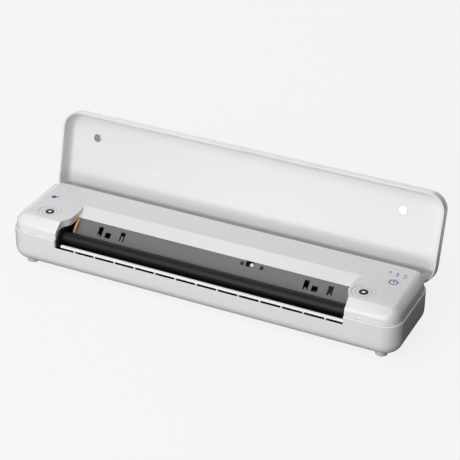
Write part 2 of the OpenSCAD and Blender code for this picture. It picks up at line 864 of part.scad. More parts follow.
module head_springs() {
  color("silver")
    for (x = springs) translate([x, roller_y, floor_z]) coil_spring(sink_z - move_gap - floor_z);
}

module idler_stud() {
  outer_x = gear_x - gear_w - move_gap;
  color("silver") {
    rod_x(outer_x, idler_y, idler_z, stud_r, -side_x - outer_x);
    rod_x(outer_x - stud_clip, idler_y, idler_z, stud_collar_r, stud_clip);
    rod_x(gear_x + move_gap, idler_y, idler_z, stud_collar_r, -side_x - side_t - gear_x - move_gap);
  }
}

module drive_motor() {
  color([0.55, 0.56, 0.58]) difference() {
    union() {
      rod_x(-side_x, pinion_y, pinion_z, motor_r, motor_l);
      rod_x(-side_x - side_t, pinion_y, pinion_z, motor_hub_r, side_t + seat_fit);
    }
    rod_x(-side_x - side_t - over, pinion_y, pinion_z, motor_shaft_r + run_fit,
      side_t + motor_shaft_in + move_gap + over);
  }
}

module main_board() {
  color([0.05, 0.3, 0.16]) {
    translate([board_x - board_l / 2, board_y, board_z]) cube([board_l, board_w, board_t]);
    for (i = [-1, 0, 1])
      block(board_x + i * board_l / 4, board_y + board_w / 2, board_z + board_t, board_w / 2, board_w / 2, board_t);
  }
}

module battery_pack() {
  color([0.15, 0.3, 0.55])
    for (s = [-1, 1])
      rod_x(cell_x + (s - 1) * cell_l / 2, cell_y, floor_z + cell_r, cell_r, cell_l);
}

module usb_board() {
  color([0.05, 0.3, 0.16])
    translate([-(case_l / 2 - shell_wall - move_gap), usb_y - usb_board_w / 2, usb_z - board_t])
      cube([usb_board_l, usb_board_w, board_t]);
}

module usb_socket() {
  x = -case_l / 2 + usb_in + usb_l / 2;
  color("silver") difference() {
    block(x, usb_y, usb_z, usb_l, usb_w, usb_h);
    block(x - over, usb_y, usb_z + usb_t, usb_l, usb_w - 2 * usb_t, usb_h - 2 * usb_t);
  }
  color([0.1, 0.1, 0.1])
    block(x + usb_t, usb_y, usb_z + usb_h / 2 - usb_t / 2, usb_l - 2 * usb_t, usb_w - 4 * usb_t, usb_t);
}

// A board under a key, with the places of its lights
module key_board(x) {
  translate([x - key_board_l / 2, controls_y - key_board_in, key_board_z])
    cube([key_board_l, light_y + 2 * post_r + light_r - controls_y + key_board_in, key_board_t]);
}

// Places of the three status lights
function light_places() = [
  for (i = [-1, 0, 1]) [case_l / 2 - light_in + i * light_pitch, light_y]
];

module right_key_board() {
  color([0.05, 0.3, 0.16]) key_board(power_x);
}

module left_key_board() {
  color([0.05, 0.3, 0.16]) key_board(left_board_x);
}

module key_switches() {
  color([0.2, 0.2, 0.2])
    for (x = [power_x, feed_x]) {
      block(x, controls_y, key_board_z + key_board_t, switch_w, switch_w, switch_h);
      translate([x, controls_y, key_board_z + key_board_t + switch_h])
        cylinder(r = plunger_r, h = plunger_h, $fn = small_fn);
    }
}

module light_pipes() {
  color([0.45, 0.6, 0.95])
    pegs(light_places(), key_board_z + key_board_t, light_r, deck_z - key_board_z - key_board_t);
}

module catch_bezels() {
  color("white")
    for (x = [left_catch_x, right_catch_x])
      translate([x, catch_y, deck_z - dish_h - catch_h]) difference() {
        cylinder(r = bezel_r, h = catch_h, $fn = round_fn);
        translate([0, 0, -over]) cylinder(r = magnet_r + seat_fit, h = catch_h + 2 * over, $fn = round_fn);
      }
}

module catch_magnets() {
  color([0.05, 0.05, 0.05])
    for (x = [left_catch_x, right_catch_x])
      translate([x, catch_y, deck_z - dish_h - catch_h]) difference() {
        cylinder(r = magnet_r, h = catch_h + magnet_proud, $fn = round_fn);
        translate([0, 0, -over]) cylinder(r = catch_post_r + seat_fit, h = catch_h + 2 * over, $fn = small_fn);
      }
}

module catch_posts() {
  color([0.95, 0.95, 0.95])
    pegs([[left_catch_x, catch_y], [right_catch_x, catch_y]], deck_z - dish_h - catch_h, catch_post_r,
      catch_h + catch_post_proud);
}

module hinge_pins() {
  l = knuckle_w + 2 * side_gap + 2 * ear_w;
  color("silver") for (s = [-1, 1]) rod_x(s * hinge_x - l / 2, hinge_y, hinge_z, pin_r, l);
}

// The arm and barrel that hang from the lid's back wall into the shell
module lid_knuckle(x) {
  rod_x(x - knuckle_w / 2, hinge_y, hinge_z, knuckle_r, knuckle_w);
  block(x, back_y - lid_wall / 2, hinge_z, knuckle_w, lid_wall, hinge_drop + 2 * rim_gap);
}

module lid_shell() {
  rim_z = seam_z + rim_gap;
  scoop_r = (scoop_w * scoop_w / 4 + scoop_h * scoop_h) / (2 * scoop_h);
  color("white") opened() difference() {
    union() {
      sweep_round(case_l, case_d, corner_r) difference() {
        round_block(corner_r, rim_z, lid_z, lid_r, true);
        round_block(corner_r - lid_wall, rim_z - over, ceiling_z, lid_in_r, true);
      }
      block(0, 0, ceiling_z, case_l - 2 * corner_r, case_d - 2 * corner_r, lid_roof);
      for (s = [-1, 1]) lid_knuckle(s * hinge_x);
    }
    for (s = [-1, 1])
      rod_x(s * hinge_x - knuckle_w, hinge_y, hinge_z, pin_r + run_fit, 2 * knuckle_w);
    translate([0, front_y - over, rim_z + scoop_h - scoop_r]) rotate([-90, 0, 0])
      cylinder(r = scoop_r, h = lid_wall + 2 * over, $fn = round_fn);
    pegs([[left_catch_x, catch_y], [right_catch_x, catch_y]], ceiling_z - over, disc_r + seat_fit,
      disc_h - disc_proud + over);
  }
}

module lid_discs() {
  color([0.7, 0.7, 0.72]) opened()
    pegs([[left_catch_x, catch_y], [right_catch_x, catch_y]], ceiling_z - disc_proud, disc_r, disc_h);
}

module platen_rubber() {
  color([0.09, 0.09, 0.09]) difference() {
    rod_x(-roller_l / 2, roller_y, roller_z, roller_r, roller_l);
    rod_x(-roller_l / 2 - over, roller_y, roller_z, shaft_r, roller_l + 2 * over);
  }
}

module platen_shaft() {
  color("silver") {
    rod_x(-roller_l / 2, roller_y, roller_z, shaft_r, roller_l);
    rod_x(gear_x - gear_w, roller_y, roller_z, journal_r, side_x + side_t + move_gap + gear_w - gear_x);
  }
}

// Half the angle that a tooth fills at the radius r
function tooth_half(teeth, r) =
  let(
    pitch_r = gear_mod * teeth / 2,
    base_r = pitch_r * cos(pressure),
    a = r > base_r ? acos(base_r / r) : 0
  )
  90 / teeth - backlash / pitch_r * 90 / PI
    + (tan(pressure) - pressure * PI / 180 - tan(a) + a * PI / 180) * 180 / PI;

// A spur gear's outline with a tooth centred on the angle turn
module gear_outline(teeth, turn) {
  pitch_r = gear_mod * teeth / 2;
  base_r = pitch_r * cos(pressure);
  tip_r = pitch_r + gear_mod;
  root_r = pitch_r - 1.25 * gear_mod;
  low_r = max(base_r, root_r);
  flank = [root_r, low_r, (low_r + 2 * pitch_r) / 3, (pitch_r + tip_r) / 2, tip_r];
  n = len(flank) - 1;
  polygon([
    for (i = [0 : teeth - 1]) let(c = turn + 360 * i / teeth) each concat(
      [for (j = [0 : n]) let(h = tooth_half(teeth, flank[j])) flank[j] * [cos(c - h), sin(c - h)]],
      [for (j = [n : -1 : 0]) let(h = tooth_half(teeth, flank[j])) flank[j] * [cos(c + h), sin(c + h)]]
    )
  ]);
}

// A gear on the train's plane; bore_r is 0 where it has no bore
module gear(y, z, teeth, turn, bore_r) {
  translate([gear_x - gear_w, y, z]) along_x(gear_w) difference() {
    gear_outline(teeth, turn);
    if (bore_r > 0) circle(r = bore_r, $fn = small_fn);
  }
}

module platen_gear() {
  color("ivory") gear(roller_y, roller_z, platen_teeth, gear_slope, journal_r);
}

module idler_gear() {
  color("ivory") gear(idler_y, idler_z, idler_teeth, idler_turn, stud_r + run_fit);
}

module motor_pinion() {
  color([0.8, 0.68, 0.35]) {
    gear(pinion_y, pinion_z, pinion_teeth, pinion_turn, 0);
    rod_x(gear_x - seat_fit, pinion_y, pinion_z, motor_shaft_r, motor_shaft_in - side_x - gear_x + seat_fit);
  }
}

module heat_sink() {
  y0 = front_y + sink_in;
  color([0.72, 0.72, 0.74]) difference() {
    union() {
      translate([-head_l / 2, y0, sink_z]) cube([head_l, sink_w, sink_t]);
      for (x = barrels) {
        rod_x(x - barrel_l / 2, rod_y, rod_z, barrel_r, barrel_l);
        block(x, rod_y, rod_z, barrel_l, 2 * barrel_r, sink_z - rod_z);
      }
    }
    for (i = [0 : groove_count - 1])
      translate([-head_l / 2 - over, y0 + groove_edge + i * groove_pitch, sink_z + sink_t - groove_h])
        cube([head_l + 2 * over, groove_w, groove_h + over]);
    for (x = barrels) rod_x(x - barrel_l, rod_y, rod_z, rod_r + run_fit, 2 * barrel_l);
  }
}

module print_head() {
  color([0.2, 0.16, 0.13]) block(0, roller_y, sink_z + sink_t, head_l, head_w, head_t);
}

// A key cap with its flange under the deck and its stem over the switch
module key(x) {
  translate([x, controls_y, 0]) {
    translate([0, 0, deck_z - cover_wall - key_slack])
      cylinder(r = key_r, h = cover_wall + key_slack, $fn = round_fn);
    translate([0, 0, stem_z + key_stem]) cylinder(r = key_flange_r, h = key_flange_t, $fn = small_fn);
    translate([0, 0, stem_z]) cylinder(r = key_stem_r, h = key_stem, $fn = small_fn);
  }
}

module power_key() {
  color("white") key(power_x);
}

module feed_key() {
  color("white") key(feed_x);
}

// Puts the middle of the open printer over the origin
module placed() {
  translate([0, -middle_y, 0]) children();
}

placed() bottom_shell();
placed() rubber_feet();
placed() case_screws();
placed() top_cover();
placed() paper_guide();
placed() left_side_plate();
placed() right_side_plate();
placed() exit_plate();
placed() paper_sensor();
placed() ribbon_cables();
placed() platen_bushes();
placed() head_rod();
placed() head_springs();
placed() idler_stud();
placed() drive_motor();
placed() main_board();
placed() battery_pack();
placed() usb_board();
placed() usb_socket();
placed() right_key_board();
placed() left_key_board();
placed() key_switches();
placed() light_pipes();
placed() catch_bezels();
placed() catch_magnets();
placed() catch_posts();
placed() hinge_pins();
placed() lid_shell();
placed() lid_discs();
placed() platen_rubber();
placed() platen_shaft();
placed() platen_gear();
placed() idler_gear();
placed() motor_pinion();
placed() heat_sink();
placed() print_head();
placed() power_key();
placed() feed_key();
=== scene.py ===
import math

import bmesh
import bpy
import numpy as np
from mathutils import Matrix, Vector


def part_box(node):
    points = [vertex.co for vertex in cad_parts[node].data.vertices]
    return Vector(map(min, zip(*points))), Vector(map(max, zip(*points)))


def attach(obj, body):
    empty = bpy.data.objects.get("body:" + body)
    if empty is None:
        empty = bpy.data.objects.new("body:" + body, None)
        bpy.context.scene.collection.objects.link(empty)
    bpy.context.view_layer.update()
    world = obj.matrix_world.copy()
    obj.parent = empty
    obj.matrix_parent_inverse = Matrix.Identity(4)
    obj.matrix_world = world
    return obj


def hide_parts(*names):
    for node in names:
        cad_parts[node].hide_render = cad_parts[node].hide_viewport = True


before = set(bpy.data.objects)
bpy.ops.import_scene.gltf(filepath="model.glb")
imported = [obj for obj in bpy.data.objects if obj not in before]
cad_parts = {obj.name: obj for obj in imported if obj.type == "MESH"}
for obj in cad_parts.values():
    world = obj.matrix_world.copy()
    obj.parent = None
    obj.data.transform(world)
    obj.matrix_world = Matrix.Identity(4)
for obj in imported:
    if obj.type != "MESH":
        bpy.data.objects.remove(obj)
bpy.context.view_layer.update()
MM = 0.001

# The case's own frame is in millimetres from the middle of the case: x along it, y towards the
# hinge, z up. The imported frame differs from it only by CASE_Y.
CASE_Y = sum(corner[1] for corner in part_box("bottom_shell")) / 2 / MM
CASE_MIDDLE = np.array((0, CASE_Y, 0))
DECK_Z = 40.05

# The camera that was fitted to the photograph: its turns in degrees, the point that it was fitted
# round, its place from that point along its own right, up and back, and its focal length in pixels
CAMERA_AZIMUTH, CAMERA_TILT, CAMERA_ROLL = 25.187, 30.012, -0.789
CAMERA_HUB = (0, 1.6 + CASE_Y, 25)
CAMERA_PLACE = (10.445, 21.098, 1210.212)
FOCAL_PIXELS, PHOTO_PIXELS, SENSOR_WIDTH = 1645.467, 460, 36


def stand(thing, axes, place):
    """Sets a camera or lamp in the scene at place, in metres; axes are its right, up and back."""
    pose = np.eye(4)
    pose[:3, :3] = axes.T
    pose[:3, 3] = place
    thing.matrix_world = Matrix(pose.tolist())
    bpy.context.scene.collection.objects.link(thing)


def stand_camera():
    """The photograph's camera: a long lens to the right of the front, looking down by 30 degrees.
    Its level axes follow from azimuth and tilt, and are then rolled about the line of sight."""
    azimuth, tilt, roll = np.radians((CAMERA_AZIMUTH, CAMERA_TILT, CAMERA_ROLL))
    back = np.array((math.sin(azimuth) * math.cos(tilt), -math.cos(azimuth) * math.cos(tilt),
                     math.sin(tilt)))
    right = np.array((math.cos(azimuth), math.sin(azimuth), 0.0))
    turn = np.array(((math.cos(roll), -math.sin(roll), 0), (math.sin(roll), math.cos(roll), 0),
                     (0, 0, 1)))
    axes = turn @ np.array((right, np.cross(back, right), back))
    data = bpy.data.cameras.new("camera")
    data.sensor_width = SENSOR_WIDTH
    data.lens = SENSOR_WIDTH * FOCAL_PIXELS / PHOTO_PIXELS
    data.clip_start = 0.01
    camera = bpy.data.objects.new("camera", data)
    stand(camera, axes, (axes.T @ np.array(CAMERA_PLACE) + np.array(CAMERA_HUB)) * MM)
    bpy.context.scene.camera = camera


def soft_lamp(name, place, aim, size, power):
    """A rectangular studio lamp at place that faces aim, with level upper and lower edges."""
    data = bpy.data.lights.new(name, "AREA")
    data.shape = "RECTANGLE"
    data.size, data.size_y = size
    data.energy = power
    back = np.array(place, float) - np.array(aim, float)
    back /= np.linalg.norm(back)
    right = np.cross((0, 0, 1), back)
    right /= np.linalg.norm(right)
    axes = np.array((right, np.cross(back, right), back))
    stand(bpy.data.objects.new(name, data), axes, place)


class Nodes:
    """A short way to place shader nodes and join their sockets."""

    def __init__(self, tree):
        self.tree = tree

    def add(self, kind, **values):
        """Places a node. Values are its settings, which come first because sockets depend on
        them, and what its sockets hold or are fed by; in_0 is the first socket."""
        node = self.tree.nodes.new("ShaderNode" + kind)
        for key, value in values.items():
            if hasattr(node, key):
                setattr(node, key, value)
        for key, value in values.items():
            if not hasattr(node, key):
                self.feed(node, key.replace("_", " "), value)
        return node

    def feed(self, node, name, value):
        """Gives a socket, named or numbered, a plain value or another node's output."""
        socket = node.inputs[int(name[3:]) if name.startswith("in ") else name]
        if isinstance(value, bpy.types.NodeSocket):
            self.tree.links.new(value, socket)
        else:
            socket.default_value = value

    def maths(self, operation, a, b=0.0):
        """One arithmetic step on two numbers."""
        return self.add("Math", operation=operation, in_0=a, in_1=b).outputs[0]

    def mix(self, share, a, b):
        """A colour between a and b by share; the colours are sockets 6 and 7 of a Mix node."""
        return self.add("Mix", data_type="RGBA", in_0=share, in_6=a, in_7=b).outputs[2]

    def ramp(self, value, low, high):
        """A smooth step from 0 at low to 1 at high."""
        node = self.add("MapRange", interpolation_type="SMOOTHSTEP")
        for key, number in (("Value", value), ("From Min", low), ("From Max", high)):
            self.feed(node, key, number)
        return node.outputs["Result"]

    def place(self):
        """Where a point is in its object's own coordinates, in metres."""
        return self.add("TexCoord").outputs["Object"]

    def noise(self, where, scale, detail, roughness=0.5):
        """Soft noise from 0 to 1, with scale waves to the metre and detail finer octaves."""
        return self.add("TexNoise", Vector=where, Scale=scale, Detail=detail,
                        Roughness=roughness).outputs["Fac"]


def colour(r, g, b):
    """A colour given as the 0 to 255 values that a screen shows, as the shader's linear one."""
    c = np.array((r, g, b)) / 255
    linear = np.where(c <= 0.04045, c / 12.92, ((c + 0.055) / 1.055) ** 2.4)
    return (*linear.tolist(), 1.0)


def effect(name, inputs, outputs, make):
    """A shared effect: a node group whose sockets are named here, filled by make."""
    tree = bpy.data.node_groups.new(name, "ShaderNodeTree")
    for label, kind, value in inputs:
        socket = tree.interface.new_socket(label, in_out="INPUT", socket_type="NodeSocket" + kind)
        socket.default_value = value
    for label, kind in outputs:
        tree.interface.new_socket(label, in_out="OUTPUT", socket_type="NodeSocket" + kind)
    given = tree.nodes.new("NodeGroupInput").outputs
    result = tree.nodes.new("NodeGroupOutput")
    for label, value in make(Nodes(tree), given).items():
        tree.links.new(value, result.inputs[label])
    return tree


# Linear colours that the effects mix in
MID_GREY = (0.5, 0.5, 0.5, 1)
TARNISH_BROWN = (0.05, 0.045, 0.04, 1)
TRACK_GREEN = (0.12, 0.36, 0.16, 1)
PAD_TIN = (0.3, 0.26, 0.18, 1)
FILM_BROWN = (0.2, 0.08, 0.02, 1)
DEEP_SHADE = (0.02, 0.02, 0.02, 1)

# Shares of 1: how far mottling and stains go from a finish's own colour to the one mixed in, how
# much a pattern adds to the roughness, and how strongly tracks, pads and clouds show
MOTTLE_DEPTH, TARNISH_DEPTH, FILM_DEPTH = 0.5, 0.6, 0.6
STREAK_ROUGH, GRAIN_ROUGH = 0.18, 0.15
BOARD_TRACKS, BOARD_PADS, CABLE_TRACKS, CABLE_CLOUDS = 0.45, 0.8, 0.5, 0.18

CABLE_PITCH = 0.5                 # from one copper track to the next, in millimetres
LID_LEAN = 0.25                   # the lid's inner face leans back by this share of its height
LID_FACE = (0.0276, 0.0288)       # over these depths behind it the shade ends, in metres
SHADE_HEIGHT = (0.0286, 0.0316)   # over these heights the shade thins out, in metres


def moulded(nodes, given):
    """Moulded plastic: a slow flow of tone, a fine eggshell that lifts the skin, and a haze on
    the gloss."""
    where = nodes.place()
    flow = nodes.noise(where, scale=14.0, detail=2.0)
    grain = nodes.noise(where, scale=2600.0, detail=3.0)
    smear = nodes.noise(where, scale=70.0, detail=4.0, roughness=0.7)
    tone = nodes.maths("MULTIPLY", flow, given["Mottle"])
    mottled = nodes.mix(MOTTLE_DEPTH, given["Colour"], MID_GREY)
    shade = nodes.mix(tone, given["Colour"], mottled)
    rough = nodes.maths("ADD", given["Roughness"], nodes.maths("MULTIPLY", smear, given["Haze"]))
    return {"Colour": shade, "Roughness": rough, "Height": grain}


def drawn(nodes, given):
    """Drawn or ground metal: long streaks along x, a little tarnish, and their ridges."""
    where = nodes.place()
    long = nodes.add("Mapping", Vector=where, Scale=(6.0, 900.0, 900.0)).outputs["Vector"]
    streak = nodes.noise(long, scale=1.0, detail=3.0)
    tarnish = nodes.noise(where, scale=90.0, detail=4.0)
    share = nodes.maths("MULTIPLY", nodes.ramp(tarnish, low=0.45, high=0.75), given["Tarnish"])
    stained = nodes.mix(TARNISH_DEPTH, given["Colour"], TARNISH_BROWN)
    shade = nodes.mix(share, given["Colour"], stained)
    extra = nodes.maths("MULTIPLY", streak, STREAK_ROUGH)
    rough = nodes.maths("ADD", given["Roughness"], extra)
    return {"Colour": shade, "Roughness": rough, "Height": streak}


def speckled(nodes, given):
    """Rubber, powder paint or ceramic: small grains that lift, and a few paler specks."""
    where = nodes.place()
    grain = nodes.noise(where, scale=given["Scale"], detail=3.0)
    specks = nodes.ramp(nodes.noise(where, scale=420.0, detail=2.0), low=0.6, high=0.75)
    share = nodes.maths("MULTIPLY", specks, given["Specks"])
    shade = nodes.mix(share, given["Colour"], MID_GREY)
    rough = nodes.maths("ADD", given["Roughness"], nodes.maths("MULTIPLY", grain, GRAIN_ROUGH))
    return {"Colour": shade, "Roughness": rough, "Height": grain}


def printed_board(nodes, given):
    """A circuit board, the same at every height: the joints of a brick bond are its tracks under
    green lacquer, and the middles of scattered cells are its round pads."""
    wide = nodes.add("Mapping", Vector=nodes.place(), Scale=(1.0, 1.0, 0.0)).outputs["Vector"]
    bond = nodes.add("TexBrick", Vector=wide, Scale=260.0, Mortar_Size=0.06).outputs["Fac"]
    cells = nodes.add("TexVoronoi", Vector=wide, Scale=340.0).outputs["Distance"]
    track = nodes.maths("MULTIPLY", bond, BOARD_TRACKS)
    lacquer = nodes.mix(track, given["Colour"], TRACK_GREEN)
    pad = nodes.maths("SUBTRACT", 1.0, nodes.ramp(cells, low=0.16, high=0.2))
    shade = nodes.mix(nodes.maths("MULTIPLY", pad, BOARD_PADS), lacquer, PAD_TIN)
    return {"Colour": shade, "Height": bond}


def flat_cable(nodes, given):
    """A flat cable: copper tracks under film, side by side as a sine over the piece's own map,
    which is in millimetres."""
    where = nodes.add("TexCoord").outputs
    across = nodes.add("SeparateXYZ", Vector=where["UV"]).outputs["X"]
    wave = nodes.maths("SINE", nodes.maths("MULTIPLY", across, 2 * math.pi / CABLE_PITCH))
    track = nodes.ramp(wave, low=-0.35, high=0.35)
    cloud = nodes.noise(where["Object"], scale=260.0, detail=3.0)
    stained = nodes.mix(FILM_DEPTH, given["Colour"], FILM_BROWN)
    film = nodes.mix(nodes.maths("MULTIPLY", cloud, CABLE_CLOUDS), given["Colour"], stained)
    shade = nodes.mix(nodes.maths("MULTIPLY", track, CABLE_TRACKS), film, given["Track"])
    return {"Colour": shade, "Height": track}


def hinge_shade(nodes, given):
    """Painted shade deep in the lid beside its hinge, on the inner face alone. A point's depth is
    its y less LID_LEAN of its height; the painted shade is full where both its depth and its height
    are below LID_FACE and SHADE_HEIGHT, and gone where either is above."""
    axes = nodes.add("SeparateXYZ", Vector=nodes.place()).outputs
    depth = nodes.maths("SUBTRACT", axes["Y"], nodes.maths("MULTIPLY", axes["Z"], LID_LEAN))
    clear = nodes.maths("MAXIMUM", nodes.ramp(depth, *LID_FACE),
                        nodes.ramp(axes["Z"], *SHADE_HEIGHT))
    share = nodes.maths("MULTIPLY", nodes.maths("SUBTRACT", 1.0, clear), given["Depth"])
    return {"Colour": nodes.mix(share, given["Colour"], DEEP_SHADE)}


# The sockets of the effects, with what they hold where a material says nothing else
TONE = (("Colour", "Color", (1, 1, 1, 1)),)
PLASTIC = TONE + (("Roughness", "Float", 0.3), ("Mottle", "Float", 0.05), ("Haze", "Float", 0.1))
METAL = TONE + (("Roughness", "Float", 0.25), ("Tarnish", "Float", 0.2))
GRAINS = TONE + (("Roughness", "Float", 0.5), ("Scale", "Float", 1200.0), ("Specks", "Float", 0.05))
CABLE = TONE + (("Track", "Color", (1, 1, 1, 1)),)
SHADE = TONE + (("Depth", "Float", 0.5),)
STAIN = (("Colour", "Color"),)
SKIN = STAIN + (("Height", "Float"),)
FULL_SKIN = SKIN + (("Roughness", "Float"),)
EFFECTS = {
    "moulded": effect("moulded plastic", PLASTIC, FULL_SKIN, moulded),
    "drawn": effect("drawn metal", METAL, FULL_SKIN, drawn),
    "speckled": effect("speckled skin", GRAINS, FULL_SKIN, speckled),
    "flat_cable": effect("flat cable", CABLE, SKIN, flat_cable),
    "hinge_shade": effect("hinge shade", SHADE, STAIN, hinge_shade),
    "printed_board": effect("printed board", TONE, SKIN, printed_board),
}
BUMP_DEPTH = 0.0001               # the full height of every bump, in metres


def finish_of(name, kind, shade, rough, bump=0.02, **values):
    """A material of one effect, of a shade given as 0 to 255 values. Each value goes to the
    effect's socket of that name, or else to the shader's own."""
    made = bpy.data.materials.new(name)
    made.use_nodes = True
    tree = made.node_tree
    shader = tree.nodes["Principled BSDF"]
    group = tree.nodes.new("ShaderNodeGroup")
    group.node_tree = EFFECTS[kind]
    for key, value in {"Colour": colour(*shade), "Roughness": rough, **values}.items():
        label = key.replace("_", " ")
        owner = group if label in group.inputs else shader
        owner.inputs[label].default_value = value
    tree.links.new(group.outputs["Colour"], shader.inputs["Base Color"])
    if "Roughness" in group.outputs:
        tree.links.new(group.outputs["Roughness"], shader.inputs["Roughness"])
    lift = Nodes(tree).add("Bump", Strength=bump, Distance=BUMP_DEPTH,
                           Height=group.outputs["Height"])
    tree.links.new(lift.outputs["Normal"], shader.inputs["Normal"])
    return made


def plastic(name, shade, rough, **values):
    """A finish of moulded plastic."""
    return finish_of(name, "moulded", shade, rough, **values)


def metal(name, shade, rough, **values):
    """A finish of bare metal."""
    return finish_of(name, "drawn", shade, rough, Metallic=1.0, **values)


def grained(name, shade, rough, **values):
    """A finish of rubber, paint or ceramic."""
    return finish_of(name, "speckled", shade, rough, **values)


def shade_by_hinge(made, depth):
    """Leads a finish's colour through the painted shade beside the hinge, as dark as depth says."""
    tree = made.node_tree
    shade = tree.nodes.new("ShaderNodeGroup")
    shade.node_tree = EFFECTS["hinge_shade"]
    shade.inputs["Depth"].default_value = depth
    tone = tree.nodes["Principled BSDF"].inputs["Base Color"]
    tree.links.new(tone.links[0].from_socket, shade.inputs["Colour"])
    tree.links.new(shade.outputs["Colour"], tone)


case_white = plastic("case white", (232, 232, 233), 0.2, Mottle=0.03, Haze=0.08)
cover_white = plastic("cover white", (234, 234, 235), 0.2, Mottle=0.03, Haze=0.08)
lid_white = plastic("lid white", (227, 227, 228), 0.22, Mottle=0.03, Haze=0.08)
shade_by_hinge(lid_white, depth=0.4)
guide_white = plastic("guide white", (250, 250, 250), 0.3)
sensor_white = plastic("sensor white", (246, 246, 244), 0.4)
bush_dark = plastic("bush dark", (24, 24, 25), 0.45)
gear_ivory = plastic("gear ivory", (226, 222, 206), 0.38)
battery_wrap = plastic("battery wrap", (24, 36, 60), 0.25)
light_blue = plastic("light blue", (16, 112, 240), 0.3)
tab_pale = plastic("tab pale", (214, 214, 214), 0.35)
tongue_black = plastic("tongue black", (20, 20, 21), 0.35)

mark_blue = plastic("mark blue", (66, 84, 168), 0.35)
feed_blue = plastic("feed blue", (84, 124, 200), 0.35)
mark_dark = plastic("mark dark", (78, 84, 132), 0.35)
mark_grey = plastic("mark grey", (140, 150, 182), 0.35)
mark_pale = plastic("mark pale", (192, 196, 206), 0.35)
# Painted shade for the edges of the catches' seats and of the dishes round them
rim_painted_shade = plastic("rim painted shade", (158, 158, 160), 0.5)

rod_steel = metal("rod steel", (196, 196, 198), 0.2)
screw_steel = metal("screw steel", (176, 176, 178), 0.3)
spring_steel = metal("spring steel", (168, 168, 170), 0.25)
# The motor can is darkened as painted shade, for the dark seen through the plate's holes
motor_can = metal("motor can", (84, 86, 88), 0.3)
disc_steel = metal("disc steel", (214, 214, 216), 0.12, Tarnish=0.05)
# The heat sink is darker than bare aluminium as painted shade, for the dark seen behind the plate's
# slots
sink_aluminium = metal("sink aluminium", (40, 40, 42), 0.36)
pinion_brass = metal("pinion brass", (202, 168, 92), 0.25)
contact_gold = metal("contact gold", (212, 176, 98), 0.2)
cell_end = metal("cell end", (180, 182, 184), 0.28)

foot_rubber = grained("foot rubber", (205, 205, 205), 0.6, bump=0.1)
roller_rubber = grained("roller rubber", (8, 8, 9), 0.24, bump=0.06, Scale=2400.0, Specks=0.01,
                        Specular_IOR_Level=0.22)
frame_black = grained("frame black", (12, 12, 13), 0.6, bump=0.1, Specks=0.01,
                      Specular_IOR_Level=0.3)
plate_grey = grained("plate grey", (100, 102, 104), 0.36, bump=0.05, Scale=1500.0, Specks=0.03,
                     Metallic=0.35)
head_ceramic = grained("head ceramic", (58, 50, 42), 0.15)
magnet_black = grained("magnet black", (12, 12, 13), 0.45, bump=0.05, Specks=0.01,
                       Specular_IOR_Level=0.3)
switch_black = grained("switch black", (38, 38, 40), 0.5)
chip_black = grained("chip black", (34, 34, 36), 0.45)

board_green = finish_of("board green", "printed_board", (12, 42, 26), 0.3)
cable_orange = finish_of("cable orange", "flat_cable", (222, 160, 88), 0.3, bump=0.15,
                         Track=colour(244, 204, 138))

CAD_FINISH = {
    case_white: ("bottom_shell",),
    cover_white: ("top_cover", "catch_bezels", "power_key", "feed_key"),
    lid_white: ("lid_shell",),
    guide_white: ("paper_guide", "catch_posts"),
    foot_rubber: ("rubber_feet",),
    roller_rubber: ("platen_rubber",),
    frame_black: ("left_side_plate", "right_side_plate"),
    plate_grey: ("exit_plate",),
    sensor_white: ("paper_sensor",),
    bush_dark: ("platen_bushes",),
    gear_ivory: ("platen_gear", "idler_gear"),
    rod_steel: ("head_rod", "idler_stud", "platen_shaft", "hinge_pins", "usb_socket"),
    screw_steel: ("case_screws",),
    spring_steel: ("head_springs",),
    motor_can: ("drive_motor",),
    disc_steel: ("lid_discs",),
    sink_aluminium: ("heat_sink",),
    pinion_brass: ("motor_pinion",),
    head_ceramic: ("print_head",),
    magnet_black: ("catch_magnets",),
    switch_black: ("key_switches",),
    battery_wrap: ("battery_pack",),
    board_green: ("main_board", "usb_board", "right_key_board", "left_key_board"),
    light_blue: ("light_pipes",),
}
for made, names in CAD_FINISH.items():
    for name in names:
        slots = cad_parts[name].data.materials
        slots.clear()
        slots.append(made)


def put_piece(name, points, faces, made, body, smooth=True):
    """Puts points of the case's frame and faces in a mesh object at the origin, that rides on a
    body."""
    mesh = bpy.data.meshes.new(name)
    placed = (np.asarray(points, float) + CASE_MIDDLE) * MM
    mesh.from_pydata(placed.tolist(), [], [list(map(int, face)) for face in faces])
    mesh.materials.append(made)
    mesh.polygons.foreach_set("use_smooth", np.full(len(mesh.polygons), smooth))
    mesh.validate()
    piece = bpy.data.objects.new(name, mesh)
    bpy.context.scene.collection.objects.link(piece)
    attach(piece, body)
    return piece


# How a copy of a CAD surface is cleaned, and which of its edges are rolled over
ONE_POINT = 2e-6                  # points nearer than this are one, in metres
FLAT_ANGLE = 0.4                  # faces that turn by less than this become one, in degrees
SHARP_ANGLE = 32                  # an edge that bends by more than this is rolled, in degrees


def softened(name, node, width, made, body, steps=3, clamp=False):
    """Stands for a CAD node: the same surface with each sharp edge rolled over to the radius
    width, in millimetres, or left as it is where width is 0."""
    skin = bmesh.new()
    skin.from_mesh(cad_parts[node].data)
    bmesh.ops.remove_doubles(skin, verts=skin.verts, dist=ONE_POINT)
    bmesh.ops.dissolve_limit(skin, angle_limit=math.radians(FLAT_ANGLE), verts=skin.verts,
                             edges=skin.edges)
    points = np.array([v.co for v in skin.verts]) / MM - CASE_MIDDLE
    faces = [[v.index for v in f.verts] for f in skin.faces]
    skin.free()
    piece = put_piece(name, points, faces, made, body, smooth=width > 0)
    if width > 0:
        roll = piece.modifiers.new("rolled edges", "BEVEL")
        roll.width = width * MM
        roll.segments = steps
        roll.limit_method = "ANGLE"
        roll.angle_limit = math.radians(SHARP_ANGLE)
        roll.use_clamp_overlap = clamp
        roll.harden_normals = True
    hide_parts(node)
    return piece


